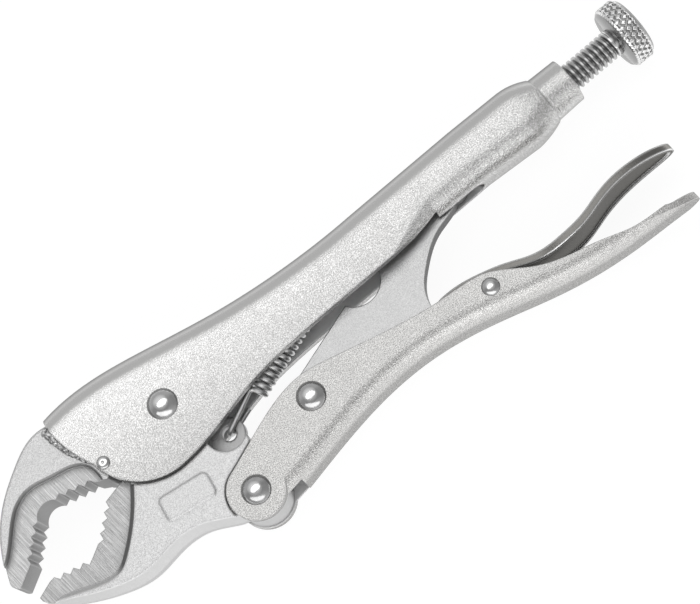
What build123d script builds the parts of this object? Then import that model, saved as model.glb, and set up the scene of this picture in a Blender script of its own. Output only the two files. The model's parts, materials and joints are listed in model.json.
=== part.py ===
from build123d import *
import math
import os

# Locking pliers lying on their side, in millimetres.
# Drawn about the jaw pivot: X runs along the adjusting screw to its head, Y to the back of the fixed handle,
# Z across the tool. At the end everything is moved so that the origin is under the middle of its box.

# Widths across the tool
grip_width = 8.0            # toothed cheeks of both jaws
jaw_width = 10.4            # forged bodies of both jaws
tongue_width = 8.8          # jaw where it runs between two sheet walls
lobe_width = 2.2            # lower jaw's lobe that holds the spring
side_play = 0.1             # between a jaw, a link boss or a lever and the sheet wall beside it
shell_sheet = 2.0
handle_sheet = 1.7
lever_sheet = 1.3
link_thickness = 3.5
paddle_width = 14.0         # release lever's wide end

# Clearances
step_gap = 0.4              # jaw's thick body to the edges of the sheet round it
rivet_play = 0.05           # radial, where a piece turns on a rivet
rivet_seat = 0.02           # radial, where a rivet is closed in a wall
screw_play = 0.05           # radial, screw in its barrel
nose_gap = 2.3              # link nose to screw tip, at the linkage's open pivot
slot_play = 0.8             # each side of the link, in the tube's open seam

# Pivots
handle_pivot = (3.7, -26.5)         # lower handle on the lower jaw
link_pivot = (24.2, -19.0)          # toggle link on the lower handle
nose_centre = (74.0, -2.6)          # middle of the link's round nose, under the screw tip
lever_pivot = (66.0, -25.8)         # release lever on the lower handle
lock_pin_place = (-16.8, -1.5)

# Rivets: shank, head across, head height
pivot_shank, pivot_head, pivot_dome = 5.0, 6.6, 1.8
handle_shank, handle_head, handle_dome = 4.6, 6.3, 1.8
lever_shank, lever_head, lever_dome = 2.8, 3.9, 1.0
pin_shank, pin_head, pin_dome = 2.0, 2.9, 0.7

# Fixed handle
shell_front_bottom = (-18.6, -0.3)
shell_front_middle = (-21.0, 6.5)
shell_top = [(-21.4, 15.2), (-12.0, 15.6), (3.5, 13.0), (20.0, 9.3), (37.0, 7.0), (54.0, 6.4)]
shell_chin = (-14.3, -8.7)          # on the round corner under the jaw pivot
shell_belly = [(-5.0, -12.5), (4.0, -11.5), (17.0, -8.6), (30.0, -7.6), (46.0, -7.5)]
roll_start = 56.0                   # lower edges of the walls start to roll in
tube_start = 68.0                   # they meet, and the tube starts
tube_end = 100.3
tube_shoulder = 6.5                 # length over which the tube closes down to the barrel
tube_floor = -6.75
tube_swell = 0.9                    # floor drops by this much ahead of the shoulder
tube_droop = 0.3                    # top drops by this much
shell_corner = 5.0                  # outside radius of the folded corners
wall_edge = 0.3                     # rounding of a wall's lower edge
shoulder_share = 0.75               # share of the step to the barrel left halfway along the shoulder
neck_corner_share = 0.48            # corner radius at the barrel, as a share of its diameter

# Adjusting screw and its barrel
screw_height = -1.0                 # screw axis above the jaw pivot
screw_diameter = 6.35
barrel_end = 107.2
barrel_root_diameter = 11.1
barrel_end_diameter = 10.2
thread_showing = 12.75              # barrel to head, neck included
neck_length = 1.6
neck_diameter = 5.4
head_diameter = 14.5
head_length = 5.2
head_chamfer = 0.9
tip_chamfer = 0.8

# Teeth
tooth_pitch = 2.18
tooth_depth = 0.95

# Upper jaw
upper_back = [(-26.5, 12.9), (-32.0, 10.3), (-37.2, 6.8), (-41.8, 2.3), (-45.3, -3.4), (-46.9, -7.2)]
upper_tip = [(-46.9, -8.9), (-45.9, -9.8)]
upper_front_row = (-41.3, -7.2)     # tip end of the front teeth
upper_front_angle = 42.7
upper_front_teeth = 4
upper_rear_row = (-29.3, -0.1)      # front end of the rear teeth
upper_rear_angle = -16.5
upper_rear_teeth = 4
upper_throat = (-32.2, 0.9)
upper_heel = (-18.2, -4.2)          # front end of the tang's lower edge
tang_rear = (-10.5, 0.5)            # rear end of the tang's lower edge
upper_step_slope = 0.42             # share of the step's height, cheek to body, that slopes
upper_cheek = [(-45.6, -4.6), (-39.9, 0.7), (-36.0, 3.9), (-32.2, 4.9), (-27.4, 3.9), (-21.9, 2.4),
               (-19.6, -4.4)]

# Lower jaw
lower_rear_row = (-21.6, -7.4)      # upper end of the rear teeth
lower_rear_angle = 221.8
lower_rear_teeth = 4
lower_front_row = (-30.7, -14.7)    # rear end of the front teeth
lower_front_angle = 165.8
lower_front_teeth = 4
lower_tip = [(-40.4, -12.7), (-44.0, -14.0), (-43.9, -15.0), (-41.8, -17.5)]
lower_belly = [(-36.9, -20.5), (-30.2, -23.6), (-23.4, -25.1), (-16.0, -24.3), (-9.0, -25.2), (-3.4, -28.2)]
belly_draft = 9.0                   # forging draft each way from the mid-plane, in degrees
lower_throat = (-15.4, -6.0)
lower_step_slope = 0.92
lower_cheek = [(-42.4, -17.0), (-31.4, -19.9), (-27.8, -20.0), (-25.6, -18.7), (-17.4, -10.6), (-13.4, -4.6)]
tongue_radius = 8.4                 # round the jaw pivot, inside the shell
tongue_turn = (-50, 90, 200)        # start, middle and end of that round edge, in degrees
jaw_ear_radius = 5.8                # round the handle pivot, between the handle's ears
jaw_ear_turn = (205, 290, 25)
pad_size = (11.5, 5.6)              # raised plain pad on the body
pad_place = (-7.9, -18.1)
pad_turn = -9.0
pad_height = 0.4
pad_slope = 0.3
pad_corner = 1.2

# Spring, and the places it hooks into
spring_hole = (6.4, -12.4)          # in the lower jaw's lobe
spring_anchor = (47.2, 1.1)         # in the shell's tab
spring_hole_diameter = 3.1
lobe_radius = 4.45                  # recess round the hole, down to the lobe's width
lobe_rim = 3.5                      # hole's middle to the edge of the lobe
lobe_turn = (-40, 0, 60)
tab_length = 5.0
wire_diameter = 0.95
coil_radius = 1.85                  # to the middle of the wire
coil_pitch = 1.45
hook_bend = 1.0
front_hook = 10.4                   # hole to the first turn
rear_hook = 6.0                     # last turn to the anchor
free_end = 6.6                      # length of the wire past the hook

# Lower handle
ear_radius = 6.2
ear_turn = (110, 145, 180, 240, 300)    # from the top edge round the front to the lower edge
handle_top = [(9.6, -17.7), (17.0, -15.2), (24.8, -14.1), (33.0, -15.7), (43.0, -18.4), (54.6, -20.9),
              (61.5, -21.7), (66.5, -22.7), (71.0, -25.3), (76.0, -28.8), (83.2, -31.6), (88.3, -33.0)]
handle_base = [(12.0, -31.2), (24.0, -28.8), (36.0, -27.2), (48.0, -27.3), (62.0, -30.0), (75.0, -33.9),
               (85.0, -36.2), (96.0, -37.5), (103.5, -37.9), (110.3, -38.4)]
handle_corner = 3.8                 # outside radius of the folded corners
handle_inner_corner = 0.6
rim_height = 0.4                    # gutter's rim above its floor at the tail
tail_round = 22.0                   # length over which the tail rounds off

# Toggle link
boss_radius = 4.0
link_eye = 5.6                      # plate round the link pivot
eye_turn = (275, 180, 107)
nose_turn = (100, 0, -105)
nose_radius = 3.4
link_notch = [(41.4, -7.7), (47.6, -10.2), (51.3, -6.6)]
link_shoulder = [(55.0, -2.6), (64.0, -0.2)]
link_back = [(70.0, -7.1), (65.9, -8.2), (59.6, -12.2), (56.6, -15.2), (54.7, -20.0)]
link_heel = [(53.4, -22.4), (47.0, -23.4), (35.0, -23.6)]

# Release lever
lever_top = [(56.4, -20.5), (62.0, -20.7), (67.0, -21.9), (71.6, -23.5), (75.6, -25.3), (80.7, -26.8),
             (84.9, -27.1), (89.7, -26.6), (94.3, -25.4), (98.7, -24.6), (103.1, -24.4), (113.2, -25.5)]
lever_eye = 2.6                     # ear round the lever pivot
lever_heel_turn = 30                # where the ear's round edge meets the strap, in degrees
lever_ear_drop = 3.0                # ear below the strap, at the nose
paddle_start = 75.0                 # strap starts to widen
paddle_full = 86.0                  # strap has its full width
paddle_straight = 5.2               # length at full width, the rest rounds off to the tip
lip_width, lip_drop = 1.0, 0.4      # lip that hangs from the strap's edges

# Weld bead
weld_radius = 1.1
weld_start_share = 0.05             # share of the front edge left bare below the bead
weld_end_share = 0.82
jaw_root_share = 0.86               # share of the front edge that the jaw takes up

# Sizes that follow from these
channel_width = tongue_width + 2 * side_play
shell_width = channel_width + 2 * shell_sheet
handle_width = channel_width + 2 * handle_sheet
lever_width = channel_width - 2 * side_play
tube_top = shell_top[-1][1]
tube_height = tube_top - tube_floor
tube_middle = (tube_top + tube_floor) / 2
screw_tip = nose_centre[0] + nose_radius + nose_gap
head_start = barrel_end + thread_showing
far = 60.0                          # reach of a cutter past what it cuts
mouth_reach = 5.0                   # hollow's reach in front of the shell
hollow_lap = 1.0                    # tube's hollow reaches this far into the channel's


def spline(points):
    return Spline(*points)


def along(start, angle, distance):
    """The point a distance away from start, at an angle in degrees."""
    turn = math.radians(angle)
    return (start[0] + distance * math.cos(turn), start[1] + distance * math.sin(turn))


def shifted(points, rise):
    return [(x, y + rise) for x, y in points]


def plate(edges, width):
    """A flat plate of an outline, centred on the mid-plane."""
    return extrude(make_face(edges), amount=width / 2, both=True)


def disc(place, radius, width):
    return extrude(Pos(*place) * Circle(radius), amount=width / 2, both=True)


def both_sides(face, inner, outer):
    """Two slabs of one face, between two distances from the mid-plane."""
    slab = extrude(Pos(0, 0, inner) * face, amount=outer - inner)
    return slab + mirror(slab, about=Plane.XY)


def edges_along(solid, curve, height):
    """The edges of a solid that lie along a curve, lifted to plus and minus a height."""
    found = ShapeList()
    for edge in solid.edges():
        middle = edge @ 0.5
        if abs(abs(middle.Z) - height) < 1e-3 and curve.distance_to(Vertex(middle.X, middle.Y, 0)) < 1e-3:
            found.append(edge)
    return found


def teeth(start, angle, count):
    """A row of V teeth: sharp tips on a line, with the gullets on its left."""
    row = []
    for number in range(count):
        tip = along(start, angle, number * tooth_pitch)
        gullet = along(along(tip, angle, tooth_pitch / 2), angle + 90, tooth_depth)
        next_tip = along(start, angle, (number + 1) * tooth_pitch)
        row += [Line(tip, gullet), Line(gullet, next_tip)]
    return row


def rounded_strip(sides, shoulder, tip):
    """A tall cutter, seen from the back: half widths along X, rounded off from a shoulder to a tip."""
    start, half = sides[0], sides[-1][1]
    edges = [Line((start[0], 0), start)]
    for before, after in zip(sides, sides[1:]):
        edges.append(Spline(before, after, tangents=[(1, 0), (1, 0)]))
    edges.append(Line(sides[-1], (shoulder, half)))
    reach = 0.55 * (tip - shoulder)     # makes the curve a quarter of an ellipse
    edges.append(Bezier((shoulder, half), (shoulder + reach, half), (tip, 0.55 * half), (tip, 0)))
    edges.append(Line((tip, 0), (start[0], 0)))
    face = make_face(edges)
    face += mirror(face, about=Plane.XZ)
    return extrude(Plane.XZ * face, amount=far, both=True)


def rivet(place, shank, head, dome, grip):
    """A rivet across the tool with a domed head on each side of its grip."""
    half = grip / 2
    ball = (head * head / 4 + dome * dome) / (2 * dome)
    lean = math.asin(head / 2 / ball) / 2
    shoulder = (ball * math.sin(lean), half + dome - ball + ball * math.cos(lean))
    profile = [
        Line((0, 0), (shank / 2, 0)),
        Line((shank / 2, 0), (shank / 2, half)),
        Line((shank / 2, half), (head / 2, half)),
        ThreePointArc((head / 2, half), shoulder, (0, half + dome)),
        Line((0, half + dome), (0, 0)),
    ]
    upper = revolve(Plane.XZ * make_face(profile), axis=Axis.Z)
    return Pos(*place) * (upper + mirror(upper, about=Plane.XY))


# Fixed handle
front_edge = ThreePointArc(shell_front_bottom, shell_front_middle, shell_top[0])
top_edge = spline(shell_top)
belly_edge = spline(shell_belly)
chin_edge = ThreePointArc(shell_belly[0], shell_chin, shell_front_bottom)
wall_floor = shell_belly[-1][1]
wall_end = (roll_start, wall_floor)
wall_outline = [
    front_edge,
    top_edge,
    Line(shell_top[-1], (roll_start, tube_top)),
    Line((roll_start, tube_top), wall_end),
    Line(wall_end, shell_belly[-1]),
    belly_edge,
    chin_edge,
]


def section(place, top, floor, width, corner, low_corner):
    """The outside of the handle across X, with its own radius on the upper and the lower corners."""
    face = Rectangle(top - floor, width)
    face = fillet(face.vertices().sort_by(Axis.X)[-2:], corner)
    face = fillet(face.vertices().sort_by(Axis.X)[:2], low_corner)
    return Pos(place, (top + floor) / 2, 0) * (Plane.YZ * face)


def tube():
    """The rear of the handle: the walls roll in to a tube, which swells a little and closes on the barrel."""
    closing, halfway = tube_end - tube_shoulder, tube_end - tube_shoulder / 2
    high, low = tube_top - tube_droop, tube_floor - tube_swell
    plain = (shell_width, shell_corner, shell_corner)
    flat = section(roll_start, tube_top, wall_floor, shell_width, shell_corner, wall_edge)
    rolled = section(tube_start, tube_top, tube_floor, *plain)
    even = section((tube_start + closing) / 2, tube_top, tube_floor, *plain)
    swollen = section(closing, high, low, *plain)
    root = barrel_root_diameter
    neck_top, neck_floor, corner = screw_height + root / 2, screw_height - root / 2, root * neck_corner_share
    step_up, step_down = shoulder_share * (high - neck_top), shoulder_share * (low - neck_floor)
    wide = root + shoulder_share * (shell_width - root)
    shoulder = section(halfway, neck_top + step_up, neck_floor + step_down, wide, corner, corner)
    end = section(tube_end, neck_top, neck_floor, root, corner, corner)
    straight = loft([flat, rolled, even, swollen], ruled=True)
    return straight + loft([swollen, shoulder, end])


def cone(start, end, start_diameter, end_diameter):
    """A round piece about the screw's axis."""
    profile = Polyline(
        (start, 0), (start, start_diameter / 2), (end, end_diameter / 2), (end, 0), close=True)
    return Pos(0, screw_height, 0) * revolve(make_face(profile), axis=Axis.X)


def fixed_handle():
    walls = plate(wall_outline, shell_width)
    ridge = edges_along(walls, Curve() + wall_outline[1:3], shell_width / 2)
    walls = fillet(ridge, shell_corner)
    barrel = cone(tube_end - tube_shoulder, barrel_end, barrel_root_diameter, barrel_end_diameter)
    return walls + tube() + barrel


def channel():
    """The hollow of the fixed handle, open below and in front."""
    inner = shifted(shell_top, -shell_sheet)
    inner = [(inner[0][0] - mouth_reach, inner[0][1])] + inner
    ceiling = [spline(inner), Line(inner[-1], (tube_start, inner[-1][1]))]
    rest = Polyline((tube_start, inner[-1][1]), (tube_start, -far), (inner[0][0], -far), inner[0])
    hollow = plate(ceiling + rest.edges(), channel_width)
    inner_corner = shell_corner - shell_sheet
    hollow = fillet(edges_along(hollow, Curve() + ceiling, channel_width / 2), inner_corner)
    bore = Plane.YZ * RectangleRounded(tube_height - 2 * shell_sheet, channel_width, inner_corner)
    bore = extrude(bore, amount=tube_end - tube_shoulder - tube_start + hollow_lap)
    return hollow + Pos(tube_start - hollow_lap, tube_middle, 0) * bore


def link_slot():
    """The open seam under the tube, where the link's nose runs."""
    length = screw_tip - tube_start
    width = link_thickness + 2 * slot_play
    slot = Plane.XZ * SlotOverall(2 * length, width)
    return Pos(tube_start, tube_middle, 0) * extrude(slot, amount=tube_height)


def spring_tab():
    """The tab lanced out of the web, with the hole for the spring's rear hook."""
    root = Pos(spring_anchor[0], 0, 0) * Box(tab_length, 2 * tube_top - shell_sheet, shell_sheet)
    root = split(root, Plane.XZ.offset(-spring_anchor[1]), keep=Keep.BOTTOM)
    foot = disc(spring_anchor, tab_length / 2, shell_sheet)
    return root + foot - disc(spring_anchor, spring_hole_diameter / 2, far)


hollow = channel()
handle_shell = fixed_handle() - hollow + spring_tab() - link_slot()
handle_shell -= cone(tube_start, barrel_end, screw_diameter + 2 * screw_play, screw_diameter + 2 * screw_play)
handle_shell -= disc((0, 0), pivot_shank / 2 + rivet_seat, far)
handle_shell -= disc(lock_pin_place, pin_shank / 2 + rivet_seat, far)


# Upper jaw
def ground_cheeks(jaw, step, corners, slope):
    """A jaw with its cheeks ground down in front of a step line, and the step's edge sloped."""
    line = spline(step)
    face = make_face([line] + Polyline(step[-1], *corners, step[0]).edges())
    jaw = jaw - both_sides(face, grip_width / 2, far)
    return chamfer(edges_along(jaw, line, jaw_width / 2), slope * (jaw_width - grip_width) / 2)


def fixed_jaw():
    front_row = teeth(upper_front_row, upper_front_angle, upper_front_teeth)
    rear_row = teeth(upper_rear_row, upper_rear_angle, upper_rear_teeth)
    root = tuple(front_edge @ jaw_root_share)[:2]
    tang = Polyline(rear_row[-1] @ 1, upper_heel, tang_rear, (tang_rear[0], root[1]), root)
    outline = [
        spline([root] + upper_back),
        ThreePointArc(upper_back[-1], upper_tip[0], upper_tip[1]),
        Line(upper_tip[1], upper_front_row),
        *front_row,
        ThreePointArc(front_row[-1] @ 1, upper_throat, upper_rear_row),
        *rear_row,
        *tang.edges(),
    ]
    jaw = plate(outline, jaw_width)
    front = [(upper_cheek[-1][0], -far), (-far, -far), (-far, upper_cheek[0][1])]
    jaw = ground_cheeks(jaw, upper_cheek, front, upper_step_slope)
    jaw -= disc(lock_pin_place, pin_shank / 2 + rivet_seat, far)
    return jaw - handle_shell


upper_jaw = fixed_jaw()


# Weld beads between the upper jaw and the front edge of the shell
def weld_beads():
    lift = Vector(0, 0, jaw_width / 2)
    shares = (weld_start_share, (weld_start_share + weld_end_share) / 2, weld_end_share)
    path = ThreePointArc(*[front_edge @ share + lift for share in shares])
    bead = sweep(Plane(path @ 0, z_dir=path % 0) * Circle(weld_radius), path=path)
    bead = bead - handle_shell - upper_jaw
    return bead + mirror(bead, about=Plane.XY)


jaw_weld = weld_beads()


# Lower handle
ear = [along(handle_pivot, angle, ear_radius) for angle in ear_turn]
ear_left = ear[2]
handle_rim = [ear[0]] + handle_top + shifted(handle_base[-3:], handle_sheet + rim_height)
handle_end = handle_base[-1][0]


def handle_side(low):
    """The side of the lower handle, down to a level line well below it."""
    return [
        ThreePointArc(ear_left, ear[1], ear[0]),
        spline(handle_rim),
        *Polyline(handle_rim[-1], (handle_end, low), (ear_left[0], low), ear_left).edges(),
    ]


def moving_handle():
    base = spline(handle_base)
    sides = Polyline(handle_base[-1], (handle_end, far), (ear_left[0], far), ear_left)
    front = [
        ThreePointArc(*ear[2:]),
        Line(ear[-1], handle_base[0]),
    ]
    block = plate([base, *sides.edges(), *front], handle_width)
    block = fillet(edges_along(block, base, handle_width / 2), handle_corner)
    floor = shifted(handle_base, handle_sheet)
    around = Polyline(
        floor[-1], (handle_end, far), (-far, far), (-far, -far), (floor[0][0], -far), floor[0])
    hollow_side = spline(floor)
    inside = plate([hollow_side, *around.edges()], channel_width)
    inside = fillet(edges_along(inside, hollow_side, channel_width / 2), handle_inner_corner)
    plan = rounded_strip([(ear_left[0], handle_width / 2)], handle_end - tail_round, handle_end)
    handle = (block - inside) & plate(handle_side(-far), far) & plan
    for place in (handle_pivot, link_pivot):
        handle -= disc(place, handle_shank / 2 + rivet_seat, far)
    return handle - disc(lever_pivot, lever_shank / 2 + rivet_seat, far)


lower_handle = moving_handle()


# Lower jaw
def shell_room():
    """The side of the shell round the jaw pivot, larger by the step gap."""
    middle, grow = chin_edge.arc_center, 1 + step_gap / chin_edge.radius
    chin = [middle + (chin_edge @ part - middle) * grow for part in (0, 0.5, 1)]
    belly = [chin[0]] + shifted(shell_belly[1:], -step_gap)
    rest = Polyline(belly[-1], (belly[-1][0], far), (chin[2].X, far), chin[2])
    return [ThreePointArc(*chin), spline(belly), *rest.edges()]


def handle_room():
    """The side of the lower handle's ears, larger by the step gap."""
    round_ear = [along(handle_pivot, angle, ear_radius + step_gap) for angle in ear_turn[:3]]
    rim = [round_ear[0]] + shifted(handle_top[:3], step_gap)
    rest = Polyline(rim[-1], (rim[-1][0], -far), (round_ear[2][0], -far), round_ear[2])
    return [ThreePointArc(*round_ear), spline(rim), *rest.edges()]


def moving_jaw():
    rear_row = teeth(lower_rear_row, lower_rear_angle, lower_rear_teeth)
    front_row = teeth(lower_front_row, lower_front_angle, lower_front_teeth)
    jaw_ear = [along(handle_pivot, angle, jaw_ear_radius) for angle in jaw_ear_turn]
    lobe = [along(spring_hole, angle, lobe_rim) for angle in lobe_turn]
    tongue = [along((0, 0), angle, tongue_radius) for angle in tongue_turn]
    belly = spline([lower_tip[-1]] + lower_belly + [jaw_ear[0]])
    outline = [
        Line(lower_throat, lower_rear_row),
        *rear_row,
        Line(rear_row[-1] @ 1, lower_front_row),
        *front_row,
        *Polyline(front_row[-1] @ 1, *lower_tip).edges(),
        belly,
        ThreePointArc(*jaw_ear),
        Line(jaw_ear[2], lobe[0]),
        ThreePointArc(*lobe),
        Line(lobe[2], tongue[0]),
        ThreePointArc(*tongue),
        Line(tongue[2], lower_throat),
    ]
    below = Polyline(jaw_ear[0], (jaw_ear[0][0], -far), (-far, -far), (-far, lower_tip[-1][1]), lower_tip[-1])
    lean = (0, math.tan(math.radians(belly_draft)), 1)
    draft = extrude(make_face([belly, *below.edges()]), amount=jaw_width, dir=lean)
    jaw = plate(outline, jaw_width) - draft - mirror(draft, about=Plane.XY)
    pad = Pos(*pad_place, jaw_width / 2) * Rot(0, 0, pad_turn) * RectangleRounded(*pad_size, pad_corner)
    pad = extrude(pad, amount=pad_height)
    jaw += chamfer(pad.faces().sort_by(Axis.Z)[-1].edges(), pad_slope)
    front = [(lower_cheek[-1][0], far), (-far, far), (-far, lower_cheek[0][1])]
    jaw = ground_cheeks(jaw, lower_cheek, front, lower_step_slope)
    for side in (shell_room(), handle_room()):
        jaw -= both_sides(make_face(side), tongue_width / 2, far)
    jaw -= both_sides(Pos(*spring_hole) * Circle(lobe_radius), lobe_width / 2, far)
    jaw -= disc((0, 0), pivot_shank / 2 + rivet_play, far)
    jaw -= disc(handle_pivot, handle_shank / 2 + rivet_play, far)
    return jaw - disc(spring_hole, spring_hole_diameter / 2, far)


lower_jaw = moving_jaw()


# Toggle link
def link():
    eye = [along(link_pivot, angle, link_eye) for angle in eye_turn]
    nose = [along(nose_centre, angle, nose_radius) for angle in nose_turn]
    outline = [
        Line(eye[2], link_notch[0]),
        ThreePointArc(*link_notch),
        spline([link_notch[-1]] + link_shoulder + [nose[0]]),
        ThreePointArc(*nose),
        spline([nose[2]] + link_back),
        spline([link_back[-1]] + link_heel + [eye[0]]),
        ThreePointArc(*eye),
    ]
    body = plate(outline, link_thickness) + disc(link_pivot, boss_radius, channel_width - 2 * side_play)
    return body - disc(link_pivot, handle_shank / 2 + rivet_play, far)


toggle_link = link()


# Release lever
def lever_plan(inset):
    """A tall cutter of the strap's outline seen from the back, smaller all round by an inset."""
    narrow, wide, start = lever_width / 2 - inset, paddle_width / 2 - inset, lever_top[0][0]
    sides = [(start, narrow), (paddle_start, narrow), (paddle_full, wide)]
    return rounded_strip(sides, paddle_full + paddle_straight - inset, lever_top[-1][0] - inset)


def lever():
    nose, end, narrow = lever_top[0], lever_top[-1], lever_width / 2
    lip = shifted(lever_top, -lever_sheet - lip_drop)
    strap = plate([spline(lever_top), Line(end, lip[-1]), spline(lip), Line(lip[0], nose)], far) & lever_plan(0)
    under = shifted(lever_top, -lever_sheet)
    below = Polyline(under[-1], (end[0], -far), (nose[0], -far), under[0])
    strap -= plate([spline(under), *below.edges()], far) & lever_plan(lip_width)
    ridge = shifted(lever_top[:3], -lever_sheet / 2)
    heel, chin = along(lever_pivot, lever_heel_turn, lever_eye), (nose[0], nose[1] - lever_ear_drop)
    side = make_face(Polyline(*ridge, heel, lever_pivot, chin, close=True))
    ears = both_sides(side + Pos(*lever_pivot) * Circle(lever_eye), narrow - lever_sheet, narrow)
    return strap + ears - disc(lever_pivot, lever_shank / 2 + rivet_play, far)


release_lever = lever()


# Adjusting screw
def screw():
    shank, neck, head = screw_diameter / 2, neck_diameter / 2, head_diameter / 2
    neck_start = head_start - neck_length
    head_end = head_start + head_length
    profile = Polyline(
        (screw_tip, 0), (screw_tip, shank - tip_chamfer), (screw_tip + tip_chamfer, shank),
        (neck_start, shank), (neck_start + shank - neck, neck), (head_start, neck),
        (head_start, head - head_chamfer), (head_start + head_chamfer, head),
        (head_end - head_chamfer, head), (head_end, head - head_chamfer), (head_end, 0), close=True)
    return Pos(0, screw_height, 0) * revolve(make_face(profile), axis=Axis.X)


adjusting_screw = screw()


# Return spring, drawn along its own axis: X from the jaw's hole to the shell's tab, Z across the tool
def biarc(start, start_way, end, end_way):
    """Two arcs that join smoothly, from one point and direction to another."""
    span, ways = end - start, start_way + end_way
    a, b, c = 2 * (1 - start_way.dot(end_way)), 2 * span.dot(ways), -span.dot(span)
    reach = (-b + math.sqrt(b * b - 4 * a * c)) / (2 * a)
    middle = (start + start_way * reach + end - end_way * reach) * 0.5
    first = TangentArc(start, middle, tangent=start_way)
    return [first, TangentArc(middle, end, tangent=first % 1)]


def spring_path():
    span = math.dist(spring_hole, spring_anchor)
    climb = math.atan2(coil_pitch, 2 * math.pi * coil_radius)
    bend_rise = hook_bend * (1 - math.sin(climb))
    bend_run = hook_bend * math.cos(climb)
    turns = round(2 * (span - front_hook - rear_hook) / coil_pitch) / 2

    def coil_point(turn):
        angle = 2 * math.pi * turn
        rise, across = coil_radius * math.cos(angle), -coil_radius * math.sin(angle)
        return Vector(front_hook + coil_pitch * turn, across, rise)

    def coil_way(turn):
        angle = 2 * math.pi * turn
        across = math.cos(climb)
        return Vector(math.sin(climb), -across * math.cos(angle), -across * math.sin(angle))

    near, ahead = coil_point(0), Vector(1, 0, 0)
    hook_start = near + Vector(-bend_run, bend_rise, 0)
    eye_near = Vector(coil_radius, bend_rise, coil_radius)
    eye_far = Vector(coil_radius, bend_rise, -coil_radius)
    path = [
        Line(eye_far + ahead * (free_end - coil_radius), eye_far),
        ThreePointArc(eye_far, Vector(0, bend_rise, 0), eye_near),
        Line(eye_near, hook_start),
        TangentArc(hook_start, near, tangent=ahead),
    ]
    for half in range(int(2 * turns)):
        start, end = half / 2, half / 2 + 0.5
        path += biarc(coil_point(start), coil_way(start), coil_point(end), coil_way(end))
    last, way = coil_point(turns), coil_way(turns)
    side = math.copysign(1, way.Y)
    hook_end = last + Vector(bend_run, side * bend_rise, 0)
    tail = Vector(span - coil_radius, hook_end.Y, hook_end.Z)
    across = Vector(0, 0, -2 * hook_end.Z)
    path += [
        TangentArc(last, hook_end, tangent=way),
        Line(hook_end, tail),
        ThreePointArc(tail, tail + across * 0.5 + ahead * coil_radius, tail + across),
        Line(tail + across, tail + across - ahead * wire_diameter),
    ]
    return path


def least_gap(path, steps=12):
    """Nearest approach of the wire to itself, surface to surface, measured on points along its path."""
    points = [edge @ (step / steps) for edge in path for step in range(steps)]
    lengths = [0.0]
    for before, after in zip(points, points[1:]):
        lengths.append(lengths[-1] + (after - before).length)
    apart = math.pi * wire_diameter
    gap = min(
        (points[j] - points[i]).length
        for i in range(len(points)) for j in range(i + 1, len(points)) if lengths[j] - lengths[i] > apart)
    return gap - wire_diameter


def spring():
    path = spring_path()
    print("spring: least gap of the wire to itself %.2f mm" % least_gap(path))
    wire = Wire(path)
    section = Plane(path[0] @ 0, z_dir=path[0] % 0) * Circle(wire_diameter / 2)
    body = sweep(section, path=wire)
    line = Vector(*spring_anchor) - Vector(*spring_hole)
    return Plane(Vector(*spring_hole), x_dir=line, z_dir=(0, 0, 1)) * body


return_spring = spring()

# Pieces by name
pieces = {
    "handle_shell": handle_shell,
    "upper_jaw": upper_jaw,
    "jaw_weld": jaw_weld,
    "jaw_lock_pin": rivet(lock_pin_place, pin_shank, pin_head, pin_dome, shell_width),
    "jaw_pivot_rivet": rivet((0, 0), pivot_shank, pivot_head, pivot_dome, shell_width),
    "lower_jaw": lower_jaw,
    "lower_handle": lower_handle,
    "handle_rivet": rivet(handle_pivot, handle_shank, handle_head, handle_dome, handle_width),
    "link_rivet": rivet(link_pivot, handle_shank, handle_head, handle_dome, handle_width),
    "lever_rivet": rivet(lever_pivot, lever_shank, lever_head, lever_dome, handle_width),
    "toggle_link": toggle_link,
    "release_lever": release_lever,
    "adjusting_screw": adjusting_screw,
    "return_spring": return_spring,
}

# The origin goes under the middle of the whole tool's box
boxes = [piece.bounding_box() for piece in pieces.values()]
middle_x = (min(box.min.X for box in boxes) + max(box.max.X for box in boxes)) / 2
middle_y = (min(box.min.Y for box in boxes) + max(box.max.Y for box in boxes)) / 2
to_origin = Vector(-middle_x, -middle_y, -min(box.min.Z for box in boxes))
print("the jaw pivot is at", to_origin)
os.makedirs("parts", exist_ok=True)
for name, piece in pieces.items():
    export_step(Pos(*to_origin) * piece, "parts/" + name + ".step")
    print(name, "volume %.0f mm3" % piece.volume)
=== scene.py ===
# %% [markdown]
# # Locking pliers
# The solids of this tool come from a CAD model, one mesh for each forged, folded or turned piece. This
# lesson dresses them: it gives each piece its metal finish, cuts the thread and the knurl, winds the spring
# and lays the weld, then sets up a camera and light like those of a catalogue picture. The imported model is
# loaded first and never moved. Everything else is placed from it, in metres.

# %% Load the fixed frame
import json
import math

import bmesh
import bpy
from mathutils import Matrix, Vector


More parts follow.
